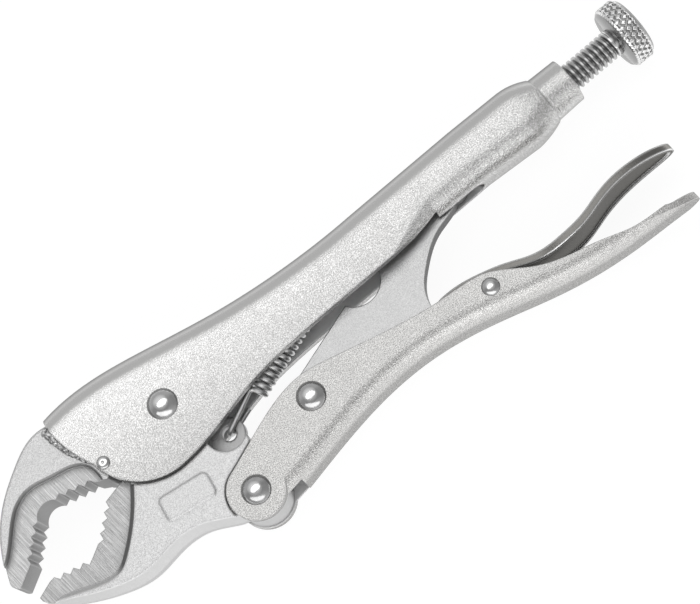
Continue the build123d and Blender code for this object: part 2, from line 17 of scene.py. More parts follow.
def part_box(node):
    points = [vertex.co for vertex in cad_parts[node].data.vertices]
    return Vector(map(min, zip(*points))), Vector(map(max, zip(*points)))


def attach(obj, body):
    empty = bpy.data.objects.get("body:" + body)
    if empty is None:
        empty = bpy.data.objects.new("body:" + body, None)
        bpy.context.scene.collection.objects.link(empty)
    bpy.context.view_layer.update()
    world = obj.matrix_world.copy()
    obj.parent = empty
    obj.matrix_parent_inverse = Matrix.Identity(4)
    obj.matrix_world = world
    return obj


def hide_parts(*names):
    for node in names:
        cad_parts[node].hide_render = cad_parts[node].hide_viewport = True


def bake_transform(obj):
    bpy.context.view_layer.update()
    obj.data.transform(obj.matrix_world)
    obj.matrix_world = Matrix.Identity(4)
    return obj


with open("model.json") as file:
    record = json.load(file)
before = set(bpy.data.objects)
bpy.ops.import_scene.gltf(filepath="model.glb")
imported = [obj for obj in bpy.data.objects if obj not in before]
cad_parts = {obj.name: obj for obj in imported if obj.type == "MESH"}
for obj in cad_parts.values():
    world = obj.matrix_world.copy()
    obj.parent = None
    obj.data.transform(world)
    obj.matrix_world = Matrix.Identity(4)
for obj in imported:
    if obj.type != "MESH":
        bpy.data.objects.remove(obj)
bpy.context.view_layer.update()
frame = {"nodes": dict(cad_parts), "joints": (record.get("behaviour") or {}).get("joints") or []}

MM = 0.001
cad_nodes = frame["nodes"]
print("pieces in the frame:", ", ".join(sorted(cad_nodes)))

# %% [markdown]
# ## Places
# The hinges in the record say where each pivot is. The whole tool was drawn about the jaw pivot, so the
# other places are given from it in millimetres, as a maker dimensions them. If the model is packed again
# with another origin, every place follows.

# %% Find the jaw pivot and the screw
pivots = {joint["name"]: Vector(joint["pos_m"]) for joint in frame["joints"]}
jaw_pivot = pivots["jaw_pivot"]
screw_low, screw_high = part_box("adjusting_screw")
screw_axis = (screw_low + screw_high) / 2


def from_pivot(x, y, z=0.0):
    """A point given in millimetres from the jaw pivot."""
    return jaw_pivot + Vector((x, y, z)) * MM


print("jaw pivot at", [round(value / MM, 2) for value in jaw_pivot])
print("screw from x %.1f to %.1f mm" % (screw_low.x / MM, screw_high.x / MM))

# %% [markdown]
# ## Small tools for node trees
# A node tree built by hand in the editor is a set of boxes and wires. In a script the same tree is easier
# to read if one short function makes a box and wires it up. `place` adds a node and fills its inputs, with
# a number or with a wire from another node. `calc` does the same for one step of arithmetic. `ramp` makes a
# mask from a value, and `vary` makes a value from a mask. All of them work in shader trees and in Geometry
# Nodes trees, because the two share their maths nodes.


# %% Helpers that place and wire nodes
def fill(tree, node, values):
    """Sets each named or numbered input of a node to a value, or wires it to an output."""
    for key, value in values.items():
        if isinstance(value, bpy.types.NodeSocket):
            tree.links.new(value, node.inputs[key])
        else:
            node.inputs[key].default_value = value


def place(tree, kind, inputs=None, **settings):
    """A new node with its settings and inputs."""
    node = tree.nodes.new(kind)
    for name, value in settings.items():
        setattr(node, name, value)
    fill(tree, node, inputs or {})
    return node


def split(tree, vector):
    """The three parts of a vector."""
    return place(tree, "ShaderNodeSeparateXYZ", {0: vector}).outputs


def new_group(name, kind, inputs, outputs):
    """A node group with named sockets. Returns the tree, its input sockets and its output node."""
    tree = bpy.data.node_groups.new(name, kind)
    for label, (socket, value) in inputs.items():
        made = tree.interface.new_socket(label, in_out="INPUT", socket_type=socket)
        if value is not None:
            made.default_value = value
    for label, socket in outputs.items():
        tree.interface.new_socket(label, in_out="OUTPUT", socket_type=socket)
    return tree, tree.nodes.new("NodeGroupInput").outputs, tree.nodes.new("NodeGroupOutput")


FLOAT, VECTOR, GEOMETRY = "NodeSocketFloat", "NodeSocketVector", "NodeSocketGeometry"
print("node helpers ready")


# %% Helpers for arithmetic and masks
def calc(tree, operation, *values):
    """One step of arithmetic."""
    node = place(tree, "ShaderNodeMath", dict(enumerate(values)), operation=operation)
    return node.outputs[0]


def remap(tree, value, low, high, new_low, new_high):
    """A value moved from one range to another, and held inside it."""
    inputs = {0: value, 1: low, 2: high, 3: new_low, 4: new_high}
    return place(tree, "ShaderNodeMapRange", inputs).outputs[0]


def ramp(tree, value, start, full):
    """A mask that is nought up to the start, and one from full on."""
    return remap(tree, value, start, full, 0.0, 1.0)


def vary(tree, mask, nought, one):
    """A value that follows a mask, given where the mask is nought and where it is one."""
    return remap(tree, mask, 0.0, 1.0, nought, one)


def between(tree, value, start, end, fade):
    """A mask that is one between two places and fades to nought at each."""
    rise = ramp(tree, value, start, calc(tree, "ADD", start, fade))
    fall = ramp(tree, value, end, calc(tree, "SUBTRACT", end, fade))
    return calc(tree, "MULTIPLY", rise, fall)


print("mask helpers ready")

# %% [markdown]
# ## Effects that several metals share
# Each of these is a shader group, built once and placed in the materials with their own values. `soft edge`
# rounds the look of a sharp CAD edge: the Bevel node averages the normal over a small radius, and where
# that differs from the surface's own normal there is an edge, which gives a mask for wear and for a painted
# highlight. A real bevel on every mesh would cost many faces for a tenth of a millimetre.

# %% Soft edges
RAYS = 8                     # from each point, to find edges and corners
EDGE_TURN = (0.995, 0.85)    # agreement of the two normals where an edge starts and where it is full


def make_soft_edge():
    """A normal that rounds edges, and a mask of where they are."""
    tree, given, result = new_group(
        "soft edge", "ShaderNodeTree", {"Radius": (FLOAT, 0.2 * MM)}, {"Normal": VECTOR, "Edge": FLOAT})
    bevel = place(tree, "ShaderNodeBevel", {"Radius": given["Radius"]}, samples=RAYS)
    own = place(tree, "ShaderNodeNewGeometry").outputs["Normal"]
    agree = place(tree, "ShaderNodeVectorMath", {0: bevel.outputs[0], 1: own}, operation="DOT_PRODUCT")
    edge = ramp(tree, agree.outputs["Value"], *EDGE_TURN)
    fill(tree, result, {"Normal": bevel.outputs[0], "Edge": edge})
    return tree


soft_edge = make_soft_edge()
print("made group", soft_edge.name)

# %% [markdown]
# `blasted grain` is the surface of plated sheet that was blasted with fine beads before plating. Under
# light every small crater is a separate facet, so the metal sparkles. Two sizes of noise make it: a fine
# one for the craters and a coarse one for the patches where the blasting was heavier. Object coordinates
# keep it fixed to the piece.

# %% Blasted grain
FINE_NOISE = (0.36, 0.64)    # values of fine noise from dull to bright
COARSE_NOISE = (0.3, 0.7)    # and of coarse noise


def noise(tree, where, size, detail, roughness):
    """Noise with lumps of about one size."""
    inputs = {
        "Vector": where, "Scale": calc(tree, "DIVIDE", 1.0, size), "Detail": detail, "Roughness": roughness}
    return place(tree, "ShaderNodeTexNoise", inputs).outputs[0]


def make_blasted_grain():
    """Craters as a height and as specks, and the patches where the blasting was heavier."""
    inputs = {"Crater": (FLOAT, 0.22 * MM), "Patch": (FLOAT, 5 * MM)}
    outputs = {"Height": FLOAT, "Speck": FLOAT, "Patch": FLOAT}
    tree, given, result = new_group("blasted grain", "ShaderNodeTree", inputs, outputs)
    where = place(tree, "ShaderNodeTexCoord").outputs["Object"]
    craters = noise(tree, where, given["Crater"], detail=1.5, roughness=0.6)
    patches = noise(tree, where, given["Patch"], detail=3.0, roughness=0.55)
    speck, patch = ramp(tree, craters, *FINE_NOISE), ramp(tree, patches, *COARSE_NOISE)
    fill(tree, result, {"Height": craters, "Speck": speck, "Patch": patch})
    return tree


blasted_grain = make_blasted_grain()
print("made group", blasted_grain.name)

# %% [markdown]
# `grinding lines` are the fine parallel scratches that a belt leaves. They are the same noise, stretched:
# the coordinates are turned to the belt's direction and one axis is squeezed, so each speck becomes a long
# line.


# %% Grinding lines
def make_grinding_lines():
    """Scratches along a belt's direction, as a mask."""
    inputs = {"Turn": (FLOAT, 0.0), "Spacing": (FLOAT, 0.22 * MM), "Length": (FLOAT, 12 * MM)}
    tree, given, result = new_group("grinding lines", "ShaderNodeTree", inputs, {"Line": FLOAT})
    where = place(tree, "ShaderNodeTexCoord").outputs["Object"]
    turn = place(tree, "ShaderNodeCombineXYZ", {"Z": given["Turn"]}).outputs[0]
    across = calc(tree, "DIVIDE", 1.0, given["Spacing"])
    along = calc(tree, "DIVIDE", 1.0, given["Length"])
    squeeze = place(tree, "ShaderNodeCombineXYZ", {"X": along, "Y": across, "Z": across}).outputs[0]
    turned = place(tree, "ShaderNodeMapping", {"Vector": where, "Rotation": turn}).outputs[0]
    squeezed = place(tree, "ShaderNodeVectorMath", {0: turned, 1: squeeze}, operation="MULTIPLY").outputs[0]
    lines = noise(tree, squeezed, 1.0, detail=3.0, roughness=0.65)
    fill(tree, result, {"Line": ramp(tree, lines, *FINE_NOISE)})
    return tree


grinding_lines = make_grinding_lines()
print("made group", grinding_lines.name)

# %% [markdown]
# `corner shade` finds closed corners. Most materials below paint shade into them, and the weld keeps its
# dark scale there. The Ambient Occlusion node says how open a point is to its surroundings, so its opposite
# is a mask for closed corners.


# %% Corner shade
def make_corner_shade():
    """A mask of corners: nought at the openness Open, one at the openness Closed."""
    inputs = {"Reach": (FLOAT, 2 * MM), "Closed": (FLOAT, 0.25), "Open": (FLOAT, 0.9)}
    tree, given, result = new_group("corner shade", "ShaderNodeTree", inputs, {"Corner": FLOAT})
    sky = place(tree, "ShaderNodeAmbientOcclusion", {"Distance": given["Reach"]}, samples=RAYS)
    fill(tree, result, {"Corner": ramp(tree, sky.outputs["AO"], given["Open"], given["Closed"])})
    return tree


corner_shade = make_corner_shade()
print("made group", corner_shade.name)

# %% [markdown]
# ## Finishes
# A material here starts from the same few steps: mix two tones by a mask, mix roughness by a mask, and bend
# the normal by a bump. These helpers do that, so that each finish below says only what is special about it.


# %% Helpers for materials
def new_material(name):
    """A material with its tree and its Principled shader, set to metal."""
    material = bpy.data.materials.new(name)
    material.use_nodes = True
    tree = material.node_tree
    shader = tree.nodes["Principled BSDF"]
    shader.inputs["Metallic"].default_value = 1.0
    return material, tree, shader


def effect(tree, group, **values):
    """A shader group placed in a material, with its own values."""
    node = place(tree, "ShaderNodeGroup", node_tree=group)
    fill(tree, node, {name.capitalize(): value for name, value in values.items()})
    return node.outputs


def bump(tree, height, distance, normal, strength=1.0):
    """A normal bent by a height."""
    inputs = {"Strength": strength, "Distance": distance, "Height": height, "Normal": normal}
    return place(tree, "ShaderNodeBump", inputs).outputs[0]


def dress(material, *names):
    """Gives CAD nodes a material."""
    for name in names:
        mesh = cad_nodes[name].data
        mesh.materials.clear()
        mesh.materials.append(material)
    print("%s on %s" % (material.name, ", ".join(names)))


print("material helpers ready")


# %% Helpers for tones
def grey(value, warm=0.0):
    """A neutral metal tone, a little warmer if asked, and white at most."""
    value = min(1.0, value)
    return (value * (1 + warm), value, value * (1 - 2 * warm), 1.0)


def mix(tree, mask, first, second, strength=None):
    """Two colours mixed by a mask, at full strength or less."""
    if strength is not None:
        mask = calc(tree, "MULTIPLY", mask, strength)
    return place(tree, "ShaderNodeMix", {0: mask, 6: first, 7: second}, data_type="RGBA").outputs[2]


def greys(tree, mask, low, high):
    """Two neutral tones mixed by a mask."""
    return mix(tree, mask, grey(low), grey(high))


def multiply(tree, colour, share, mask):
    """A colour multiplied by a share, where a mask says so."""
    inputs = {0: mask, 6: colour, 7: share}
    return place(tree, "ShaderNodeMix", inputs, data_type="RGBA", blend_type="MULTIPLY").outputs[2]


print("tone helpers ready")

# %% [markdown]
# The two handles, the lever and the link are folded or punched sheet, blasted and nickel plated. They
# differ in tone, so one function makes the finish from a tone; the low tones of the lever and the link are
# painted shade. Where the sheet is folded, the grain is left out and a greyer tone paints a reflection.
# The part of the normal that points to the tool's back, in the piece's own frame, tells the folds and the
# undersides from the flat sides, so the same masks hold when the piece moves. The tones on undersides,
# level faces and cut edges paint light and shade, and the inner walls are painted lighter. Edges are
# brighter from wear and a painted highlight, and corners carry painted shade. On a deep side a painted
# fall of light makes the tone darker towards the belly than towards the back.

# %% Masks from the way a surface faces
FOLD = (0.1, 0.3)            # part of the normal to the tool's back where a mask starts and where it is full
OUTER = (0.5, 0.85)
UNDER = (-0.6, -0.85)
LEVEL = (0.7, 0.9)           # part of the normal across the tool
CUT = (0.4, 0.2)
INSIDE = (-0.4, -0.7)        # part of the normal away from the mid-plane
PAINTED_LIGHT_REACH = 12 * MM         # of the painted light's fall, to each side of the jaw pivot


def levelness(tree):
    """One on faces that lie level on the tool's sides, nought on faces across it."""
    return calc(tree, "ABSOLUTE", split(tree, place(tree, "ShaderNodeTexCoord").outputs["Normal"])["Z"])


def facing(tree):
    """Masks of the back, folds and their outer parts, undersides, level faces, cut edges and inner walls."""
    coordinates = place(tree, "ShaderNodeTexCoord").outputs
    normal = split(tree, coordinates["Normal"])
    spot = split(tree, coordinates["Object"])
    height = calc(tree, "SUBTRACT", spot["Z"], jaw_pivot.z)
    outward = calc(tree, "MULTIPLY", calc(tree, "SIGN", height), normal["Z"])
    level = levelness(tree)
    return {
        "back": ramp(tree, spot["Y"], jaw_pivot.y - PAINTED_LIGHT_REACH, jaw_pivot.y + PAINTED_LIGHT_REACH),
        "fold": ramp(tree, normal["Y"], *FOLD),
        "outer": ramp(tree, normal["Y"], *OUTER),
        "under": ramp(tree, normal["Y"], *UNDER),
        "level": ramp(tree, level, *LEVEL),
        "cut": ramp(tree, level, *CUT),
        "inside": ramp(tree, outward, *INSIDE)}


print("a fold leans at least %.0f degrees to the tool's back" % math.degrees(math.asin(FOLD[0])))

# %% Satin nickel
PATCH_TONE = 0.82            # shares of a finish's tone: where the blasting was heavier,
FOLD_OUTER_SHADE_TONE = 0.67            # on a fold's outer part, as painted shade, from the fold's own share,
EDGE_WEAR_GLINT_TONE = 1.3              # on edges, as wear and painted highlight,
CORNER_SHADE_TONE = 0.35           # and in corners, as painted shade
PLAIN_RUB_AND_GLINT = 0.5               # edge wear and glint that leave just that edge tone, with more of it brighter
INNER_LIGHT_TONE = 0.92            # of the inner walls, as painted light


def satin_nickel(name, tone, fold=0.8, under=0.75, cut=1.0, level=None, rub_and_glint=PLAIN_RUB_AND_GLINT, warm=0.0,
                 craters=0.1 * MM, speck=0.26, shade=0.4, round_off=0.35 * MM, fade=0.0):
    """Blasted and plated sheet. Fold, under, cut and level are the shares of the tone on those surfaces,
    which paint light and shade there.

    Rub and glint is the edges' wear and painted highlight, and shade the strength of the painted shade in
    corners. Speck is how far the grain strays from the tone, and fade how far the painted light strays,
    brighter to the tool's back and darker to its belly.
    """
    material, tree, shader = new_material(name)
    grain = effect(tree, blasted_grain)
    edge = effect(tree, soft_edge, radius=round_off)
    corner = effect(tree, corner_shade)
    on = facing(tree)
    plate = mix(tree, grain["Patch"], grey(tone, warm), grey(tone * PATCH_TONE, warm), strength=0.35)
    # painted light and shade: the tone's shares on level faces, cut edges, undersides and folds
    shares = {"level": level, "cut": cut, "fold": fold, "outer": fold * FOLD_OUTER_SHADE_TONE, "under": under}
    for surface, share in shares.items():
        if share is not None:
            plate = mix(tree, on[surface], plate, grey(tone * share, warm))
    # painted light on the inner walls of the channels
    plate = mix(tree, on["inside"], plate, grey(INNER_LIGHT_TONE))
    # edge wear and painted highlight along the edges
    plate = mix(tree, edge["Edge"], plate, grey(tone * EDGE_WEAR_GLINT_TONE + rub_and_glint - PLAIN_RUB_AND_GLINT), strength=rub_and_glint)
    # painted shade in corners
    plate = mix(tree, corner["Corner"], plate, grey(tone * CORNER_SHADE_TONE, warm), strength=shade)
    # no grain where the folds carry their painted reflection, nor on the inner walls
    smooth = calc(tree, "MAXIMUM", on["fold"], on["inside"])
    blasted = calc(tree, "SUBTRACT", 1.0, smooth)
    # painted light: brighter to the tool's back and darker to its belly, by the share fade
    plate = multiply(tree, plate, vary(tree, on["back"], 1 - fade, 1 + fade), blasted)
    plate = multiply(tree, plate, vary(tree, grain["Speck"], 1 - speck, 1 + speck), blasted)
    strength = vary(tree, smooth, nought=1.0, one=0.15)
    fill(tree, shader, {
        "Base Color": plate, "Specular Tint": grey(0.45),
        "Roughness": vary(tree, on["inside"], nought=0.27, one=0.5),
        "Normal": bump(tree, grain["Height"], craters, edge["Normal"], strength)})
    return material


# Painted light and shade: the shares below, the shell's fade and the low tones of the lever and the link;
# the lever's bright edges are a painted highlight.
dress(satin_nickel("satin shell", 0.79, fold=0.87, under=1.15, rub_and_glint=0.2, warm=0.004, shade=0.2,
                   round_off=0.6 * MM, fade=0.22),
      "handle_shell")
dress(satin_nickel("satin handle", 0.645, fold=0.66, under=1.05, cut=1.2, warm=0.008), "lower_handle")
dress(satin_nickel("satin lever", 0.38, under=0.6, cut=0.7, level=0.55, rub_and_glint=1.0, warm=0.025,
                   craters=0.02 * MM, speck=0.05, round_off=0.9 * MM),
      "release_lever")
dress(satin_nickel("satin link", 0.54, under=0.5, cut=0.5, craters=0.05 * MM, speck=0.1, shade=0.15),
      "toggle_link")

# %% [markdown]
# The jaws are forged, blasted like the handles, and then their gripping ends are ground flat on a belt. The
# ground cheeks lie at one known height on each side of the mid-plane, so a mask from the Object
# coordinate's Z picks them out of the one mesh, and the belt's lines replace the grain there. Two more
# masks of the same kind find the sloped step behind the cheeks, which the belt never reaches, and the deep
# lobe that holds the spring. Both carry painted shade and are darker than the rest, apart from the step's
# low stretch on the lower jaw, which carries a painted reflection of the floor.

# %% Masks on the jaws
CHEEK_HEIGHT = 4.0 * MM      # of the ground cheeks, from the mid-plane
BODY_HEIGHT = 5.2 * MM       # of the forged bodies
LOBE_HEIGHT = 1.2 * MM       # of the lobe that holds the spring
HEIGHT_FADE = 0.06 * MM
STEP_SLOPE = ((0.3, 0.4), (0.97, 0.9))   # levelness at the two ends of the sloped step, each start to full
LOBE_LEVEL = (0.8, 0.95)     # levelness of the lobe's floor
STEP_BEND = (-26.6, -19.4)   # from the jaw pivot, in mm, where the lower jaw's step turns along the tool
BEND_FADE = 2.4 * MM


def from_middle(tree):
    """The distance from the tool's mid-plane."""
    height = split(tree, place(tree, "ShaderNodeTexCoord").outputs["Object"])["Z"]
    return calc(tree, "ABSOLUTE", calc(tree, "SUBTRACT", height, jaw_pivot.z))


def cheek_mask(tree):
    """One on the ground cheeks, nought elsewhere."""
    off = calc(tree, "ABSOLUTE", calc(tree, "SUBTRACT", from_middle(tree), CHEEK_HEIGHT))
    return ramp(tree, off, HEIGHT_FADE, HEIGHT_FADE / 2)


def step_mask(tree):
    """One on the sloped step between the cheeks and the thicker body."""
    level = levelness(tree)
    sloped = calc(tree, "MULTIPLY", *[ramp(tree, level, *limit) for limit in STEP_SLOPE])
    high = between(tree, from_middle(tree), CHEEK_HEIGHT, BODY_HEIGHT, HEIGHT_FADE)
    return calc(tree, "MULTIPLY", sloped, high)


def lit_step_mask(tree):
    """One round the step's low stretch on the lower jaw, where a reflection of the floor is painted."""
    spot = split(tree, place(tree, "ShaderNodeTexCoord").outputs["Object"])
    bend = from_pivot(*STEP_BEND)
    ahead = ramp(tree, spot["X"], bend.x, bend.x - BEND_FADE)
    return calc(tree, "MULTIPLY", ahead, ramp(tree, spot["Y"], bend.y + 2 * BEND_FADE, bend.y + BEND_FADE))


def lobe_mask(tree):
    """One on the level floor of the spring's lobe, which lies deeper than the cheeks."""
    deep = ramp(tree, from_middle(tree), LOBE_HEIGHT + HEIGHT_FADE, LOBE_HEIGHT)
    return calc(tree, "MULTIPLY", deep, ramp(tree, levelness(tree), *LOBE_LEVEL))


print("cheeks %.1f mm lower than the bodies" % ((BODY_HEIGHT - CHEEK_HEIGHT) / MM))

# %% Forged steel with ground cheeks
BELT_TURN = math.radians(84)
BLASTED_TONES = (0.82, 1.14)     # shares of a jaw's tone: on the blasted body,
GROUND_TONES = (0.7, 1.14)       # on the cheeks, from the cheeks' own share,
STEP_SHADE_TONE = 0.42                 # on the step and along its foot, as painted shade,
LIT_STEP_TONE = 1.3              # on its low stretch, as painted reflection of the floor,
JAW_WEAR_GLINT_TONE = 1.2              # on edges, as wear and painted highlight,
LOBE_SHADE_TONE = 0.68                 # on the lobe's floor, as painted shade,
JAW_CORNER_SHADE_TONE = 0.25           # and in corners, as painted shade


def forged_steel(name, tone, cheeks, upright):
    """Blasted forging. Cheeks and upright are the shares of the tone there and on faces across the tool;
    upright paints light and shade.
    """
    material, tree, shader = new_material(name)
    grain = effect(tree, blasted_grain)
    lines = effect(tree, grinding_lines, turn=BELT_TURN)
    cheek, lit, lobe = cheek_mask(tree), lit_step_mask(tree), lobe_mask(tree)
    edge = effect(tree, soft_edge, radius=vary(tree, cheek, nought=0.8 * MM, one=0.3 * MM))
    corner = effect(tree, corner_shade, reach=1.8 * MM)
    # painted shade along the foot of the step, weaker on its low stretch
    foot = effect(tree, corner_shade, reach=1.6 * MM, closed=0.8, open=0.97)
    blasted = greys(tree, grain["Speck"], *[tone * share for share in BLASTED_TONES])
    ground = greys(tree, lines["Line"], *[tone * cheeks * share for share in GROUND_TONES])
    shadow = vary(tree, lit, nought=0.9, one=0.1)
    ground = mix(tree, foot["Corner"], ground, grey(tone * STEP_SHADE_TONE), strength=shadow)
    steel = mix(tree, cheek, blasted, ground)
    # painted light and shade on faces across the tool
    steel = mix(tree, facing(tree)["cut"], steel, grey(tone * upright))
    # edge wear and painted highlight
    steel = mix(tree, edge["Edge"], steel, grey(tone * JAW_WEAR_GLINT_TONE), strength=0.4)
    # the step: painted shade, and on its low stretch a painted reflection of the floor
    steel = mix(tree, step_mask(tree), steel, greys(tree, lit, tone * STEP_SHADE_TONE, tone * LIT_STEP_TONE))
    # painted shade on the lobe's floor
    steel = mix(tree, lobe, steel, grey(tone * LOBE_SHADE_TONE))
    # painted shade in corners, strongest in the lobe
    closed = vary(tree, lobe, nought=0.35, one=0.9)
    steel = mix(tree, corner["Corner"], steel, grey(tone * JAW_CORNER_SHADE_TONE), strength=closed)
    heights = {0: cheek, 2: grain["Height"], 3: lines["Line"]}
    height = place(tree, "ShaderNodeMix", heights, data_type="FLOAT")
    strength = vary(tree, cheek, nought=1.0, one=0.5)
    fill(tree, shader, {
        "Base Color": steel, "Specular Tint": grey(0.5),
        "Roughness": vary(tree, cheek, nought=0.42, one=0.33),
        "Normal": bump(tree, height.outputs[0], 0.08 * MM, edge["Normal"], strength)})
    return material


# the upper jaw's upright share is painted shade on its tooth flanks, the lower jaw's painted light on its
# belly
dress(forged_steel("forged upper jaw", 0.74, cheeks=0.87, upright=0.58), "upper_jaw")
dress(forged_steel("forged lower jaw", 0.76, cheeks=0.73, upright=1.1), "lower_jaw")

# %% [markdown]
# Rivets are drawn from bright bar and their heads are closed by a polished punch, so they mirror the room.
# The crown carries a painted highlight, brighter than the ring round it, which carries painted shade. A
# faint grain in the roughness keeps the mirror from looking like glass.

# %% Polished rivets
RING_SHADE_TONES = (0.48, 0.58)    # of a rivet's dome round its crown, as painted shade
# painted highlight on a rivet's crown
CROWN_HIGHLIGHT_TONE = 0.95
CROWN_LEVEL = (0.9, 0.97)    # levelness where the crown starts and where it is full
SEAT_SHADE_TONE = 0.2              # in the corner between a rivet and its seat, as painted shade


def polished_pin():
    material, tree, shader = new_material("polished rivets")
    grain = effect(tree, blasted_grain, crater=0.6 * MM, patch=2 * MM)
    corner = effect(tree, corner_shade, reach=0.8 * MM)
    crown = ramp(tree, levelness(tree), *CROWN_LEVEL)
    # painted highlight on the crown, painted shade on the ring round it
    dome = mix(tree, crown, greys(tree, grain["Patch"], *RING_SHADE_TONES), grey(CROWN_HIGHLIGHT_TONE))
    # painted shade in the corner between a rivet and its seat
    dome = mix(tree, corner["Corner"], dome, grey(SEAT_SHADE_TONE), strength=0.7)
    fill(tree, shader, {
        "Base Color": dome, "Roughness": vary(tree, grain["Speck"], 0.14, 0.2),
        "Normal": bump(tree, grain["Height"], 0.02 * MM, effect(tree, soft_edge)["Normal"])})
    return material


pin_finish = polished_pin()
dress(pin_finish, "jaw_pivot_rivet", "handle_rivet", "link_rivet", "lever_rivet")

# %% [markdown]
# ## Turned pieces
# The screw and the small lock pin are round, so they start as a lathe turns them: a profile of distances
# along the axis and radii, spun into rings of vertices. The rings are made in plain mesh code, with as many
# columns as the cuts that come later need.


# %% A lathe
def lathe(mesh, profile, columns, centre, axis, side):
    """Adds a closed turned shape to a bmesh. The profile is (distance, radius) pairs, from end to end."""
    other = axis.cross(side)
    rings = []
    for distance, radius in profile:
        hub = centre + axis * distance
        turns = range(columns) if radius > 0 else (0,)
        angles = [2 * math.pi * turn / columns for turn in turns]
        rings.append([
            mesh.verts.new(hub + (side * math.cos(angle) + other * math.sin(angle)) * radius)
            for angle in angles])
    for before, after in zip(rings, rings[1:]):
        for turn in range(columns):
            corners = []
            for ring, step in ((before, 0), (before, 1), (after, 1), (after, 0)):
                vertex = ring[(turn + step) % len(ring)]
                if vertex not in corners:
                    corners.append(vertex)
            mesh.faces.new(corners)


def add_object(name, data):
    """A new object at the origin, in the scene."""
    made = bpy.data.objects.new(name, data)
    bpy.context.scene.collection.objects.link(made)
    return made


def finish_mesh(mesh, name):
    """Turns a bmesh into an object, its faces outwards and smooth."""
    bmesh.ops.recalc_face_normals(mesh, faces=mesh.faces)
    for face in mesh.faces:
        face.smooth = True
    data = bpy.data.meshes.new(name)
    mesh.to_mesh(data)
    mesh.free()
    return add_object(name, data)


def rows(start, end, step, radius):
    """Evenly spaced rings of one radius, both ends included."""
    count = max(1, round((end - start) / step))
    return [(start + (end - start) * row / count, radius) for row in range(count + 1)]


print("lathe ready")

# %% [markdown]
# ## Adjusting screw
# A quarter inch screw with a coarse thread and a knurled head. The blank is turned plain, with rings close
# enough to carry the cuts. A Geometry Nodes tree then cuts it: for each vertex it works out the angle round
# the axis and the place along it, and lowers the vertex by the depth of the thread's groove or of the knurl
# at that spot. The thread is one wave that winds round once for each pitch. The knurl is two sets of
# grooves that lean against each other. Cutting by a rule keeps both true all round, and the sizes stay
# inputs of the tree.

# %% Sizes of the screw
SCREW_DIAMETER = 6.35 * MM
THREAD_PITCH = 1.27 * MM
THREAD_DEPTH = 0.72 * MM
NECK_LENGTH = 0.8 * MM
NECK_DIAMETER = 6.2 * MM
HEAD_LENGTH = 5.2 * MM
HEAD_CHAMFER = 0.9 * MM
TIP_CHAMFER = 0.8 * MM
KNURL_GROOVES = 27           # of each hand, round the head
KNURL_LEAN = 2.06 * MM       # along the axis for one groove's width round it
KNURL_DEPTH = 0.5 * MM
HEAD_SEAT = 0.3 * MM         # neck's reach into the head
SHANK_COLUMNS = 72           # round the shank
GROOVE_COLUMNS = 16          # round the head, for each groove of the knurl
PITCH_RINGS = 12             # along the shank, for each pitch
LEAN_RINGS = 24              # along the head, for each lean of the knurl
head_start = screw_high.x - HEAD_LENGTH
head_radius = (screw_high.y - screw_low.y) / 2
neck_start = head_start - NECK_LENGTH
thread_turns = (neck_start - screw_low.x) / THREAD_PITCH
print("thread of %.1f turns, head %.1f mm across" % (thread_turns, 2 * head_radius / MM))


# %% Turn the blank
def screw_blank():
    """The screw before its thread and knurl are cut."""
    shank, neck = SCREW_DIAMETER / 2, NECK_DIAMETER / 2
    length = neck_start - screw_low.x
    neck_end = length + NECK_LENGTH + HEAD_SEAT
    stem = [(0, 0), (0, shank - TIP_CHAMFER), (TIP_CHAMFER, shank)]
    stem += rows(TIP_CHAMFER, length, THREAD_PITCH / PITCH_RINGS, shank)[1:]
    stem += [(length + shank - neck, neck), (neck_end, neck), (neck_end, 0)]
    rim = head_radius - HEAD_CHAMFER
    head = [(0, 0), (0, rim), (HEAD_CHAMFER, head_radius)]
    head += rows(HEAD_CHAMFER, HEAD_LENGTH - HEAD_CHAMFER, KNURL_LEAN / LEAN_RINGS, head_radius)[1:]
    head += [(HEAD_LENGTH, rim), (HEAD_LENGTH, 0)]
    axis, side = Vector((1, 0, 0)), Vector((0, 1, 0))
    mesh = bmesh.new()
    for profile, columns, start in (
            (stem, SHANK_COLUMNS, screw_low.x), (head, GROOVE_COLUMNS * KNURL_GROOVES, head_start)):
        lathe(mesh, profile, columns, Vector((start, screw_axis.y, screw_axis.z)), axis, side)
    return finish_mesh(mesh, "knurled_screw")


knurled_screw = screw_blank()
print("screw blank has", len(knurled_screw.data.vertices), "vertices")

# %% [markdown]
# The tree's own inputs are the sizes of the cuts. `wave` is a triangle that goes from nought at a groove's
# floor to one at a crest, so a groove is only a limit on that wave. A tree ends by making its instances
# real and giving them their material, which `coat` does for every tree in this lesson.

# %% Helpers for Geometry Nodes
MATERIAL = "NodeSocketMaterial"


def wave(tree, value):
    """A triangle wave of one period: nought at whole numbers, one half way between."""
    share = calc(tree, "FRACT", value)
    return calc(tree, "SUBTRACT", 1.0, calc(tree, "ABSOLUTE", calc(tree, "MULTIPLY_ADD", share, 2.0, -1.0)))


def coat(tree, geometry, given, result):
    """Ends a tree: instances made real, then the material put on."""
    whole = place(tree, "GeometryNodeRealizeInstances", {"Geometry": geometry})
    coated = place(
        tree, "GeometryNodeSetMaterial", {"Geometry": whole.outputs[0], "Material": given["Material"]})
    fill(tree, result, {"Geometry": coated.outputs[0]})


print("tree helpers ready")

# %% The tree that cuts thread and knurl
THREAD_WAVE = (0.64, 0.1)    # of the thread's wave, where the crest ends and where the groove's floor starts
KNURL_WAVE = (0.5, 0.0)      # and of the knurl's
THREAD_FADE = 0.5            # of a pitch, at each end of the thread
KNURL_FADE = 0.125           # of a lean, at each end of the knurl
LEAST_RADIUS = 1e-6          # keeps the vertices on the axis from a division by nought


